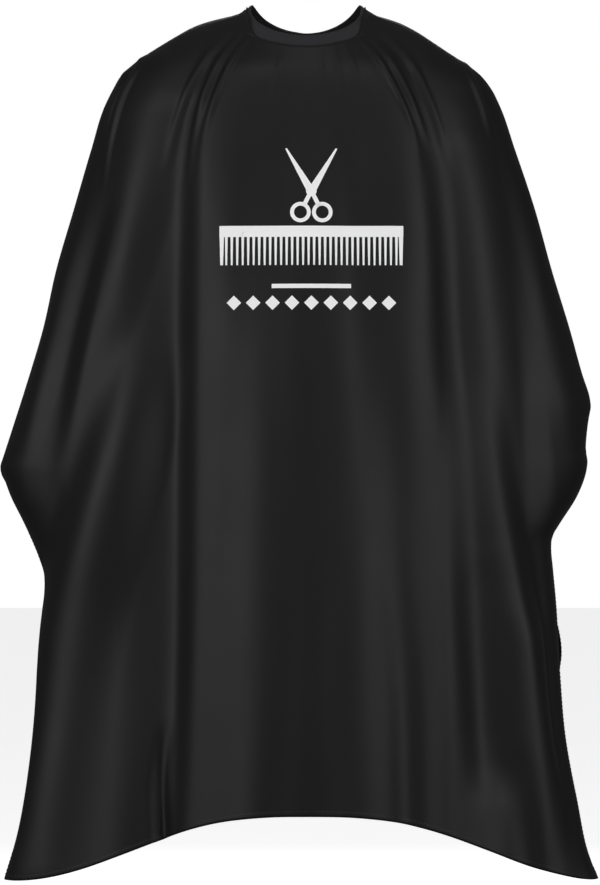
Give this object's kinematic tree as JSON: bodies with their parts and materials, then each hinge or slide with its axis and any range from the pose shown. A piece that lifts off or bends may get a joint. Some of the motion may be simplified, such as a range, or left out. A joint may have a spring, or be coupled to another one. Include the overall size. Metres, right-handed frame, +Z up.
{
  "type": "barber cape",
  "caption": "Salon cutting cape: a thin cloth sheet with a snap-closed neckband, hanging open at the back from a neck and shoulders.",
  "frame": {"origin": "the middle of the neck opening, level with the neckband's highest points at the two sides of the neck", "axes": "+Z up, the wearer faces -Y, the wearer's left is +X, the back slit is at +Y"},
  "size_m": [0.7088, 0.2905, 1.0372],
  "materials": {
    "cape_cloth": "black polyester satin",
    "band_cloth": "matte black twill",
    "band_lining": "black polyester",
    "stiffener": "non-woven interlining",
    "snap_metal": "nickel-plated brass",
    "label_cloth": "woven satin tape",
    "print_film": "white heat-pressed film"
  },
  "bodies": {
    "right_flap": {"band_post_1": "snap_metal", "band_post_2": "snap_metal", "band_post_3": "snap_metal", "band_stud_1": "snap_metal", "band_stud_2": "snap_metal", "band_stud_3": "snap_metal", "right_back_flap": "cape_cloth", "right_band_lining": "band_lining", "right_band_outer": "band_cloth", "right_band_stiffener": "stiffener"},
    "cape": {"band_post_4": "snap_metal", "band_post_5": "snap_metal", "band_stud_4": "snap_metal", "band_stud_5": "snap_metal", "front_band_lining": "band_lining", "front_band_outer": "band_cloth", "front_band_stiffener": "stiffener", "front_panel": "cape_cloth", "left_back_panel": "cape_cloth", "print_comb": "print_film", "print_lozenges": "print_film", "print_rule": "print_film", "print_scissors": "print_film", "right_back_panel": "cape_cloth"},
    "label": {"care_label": "label_cloth"},
    "left_flap": {"left_back_flap": "cape_cloth", "left_band_lining": "band_lining", "left_band_outer": "band_cloth", "left_band_stiffener": "stiffener"},
    "closure_tab": {"tab_cap_1": "snap_metal", "tab_cap_2": "snap_metal", "tab_lining": "band_lining", "tab_outer": "band_cloth", "tab_socket_1": "snap_metal", "tab_socket_2": "snap_metal", "tab_stiffener": "stiffener"}
  },
  "joints": [
    {"name": "left_flap_fold", "type": "hinge", "parent": "cape", "child": "left_flap", "pos_m": [0.06575, 0.04954, -0.02851], "axis": [0.0543, 0.1585, -0.9859], "range_deg": [0, 75]},
    {"name": "right_flap_fold", "type": "hinge", "parent": "cape", "child": "right_flap", "pos_m": [-0.06575, 0.04954, -0.02851], "axis": [0.0543, -0.1585, 0.9859], "range_deg": [0, 75]},
    {"name": "tab_snap_hinge", "type": "hinge", "parent": "left_flap", "child": "closure_tab", "pos_m": [0.00077, 0.07103, -0.03907], "axis": [0, 0.2588, -0.9659], "range_deg": [0, 80]},
    {"name": "label_swing", "type": "hinge", "parent": "left_flap", "child": "label", "pos_m": [0.02604, 0.06446, -0.0474], "axis": [-0.9272, 0.3746, 0], "range_deg": [-10, 60]}
  ],
  "couplings": [
    {"joint": "right_flap_fold", "follows": "left_flap_fold", "ratio": 1}
  ]
}
